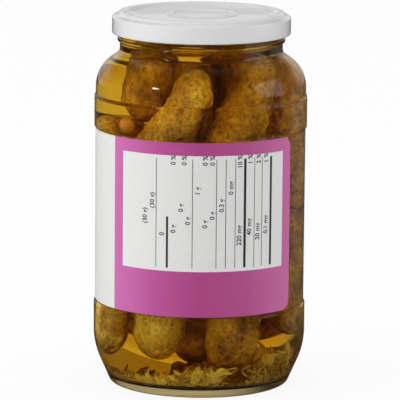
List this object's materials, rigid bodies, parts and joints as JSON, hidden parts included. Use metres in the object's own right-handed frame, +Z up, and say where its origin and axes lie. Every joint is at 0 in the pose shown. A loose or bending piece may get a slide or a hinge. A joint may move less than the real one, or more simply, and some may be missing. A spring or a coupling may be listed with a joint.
{
  "type": "pickle jar",
  "caption": "Round glass jar of whole gherkins in yellow brine with garlic, dill and seeds, closed by a white twist-off lid, with a wrap-around magenta and white label",
  "frame": {"origin": "centre of the base, on the surface that the jar stands on", "axes": "+Z up along the jar's axis; the label's table side faces -Y"},
  "size_m": [0.1002, 0.1002, 0.1764],
  "materials": {
    "glass": "clear, smooth",
    "lid": "glossy white",
    "label": "satin magenta and white print",
    "brine": "clear yellow liquid"
  },
  "bodies": {
    "root": {"glass_jar": "glass", "lid": "lid", "label": "label", "brine": "brine"}
  },
  "joints": []
}
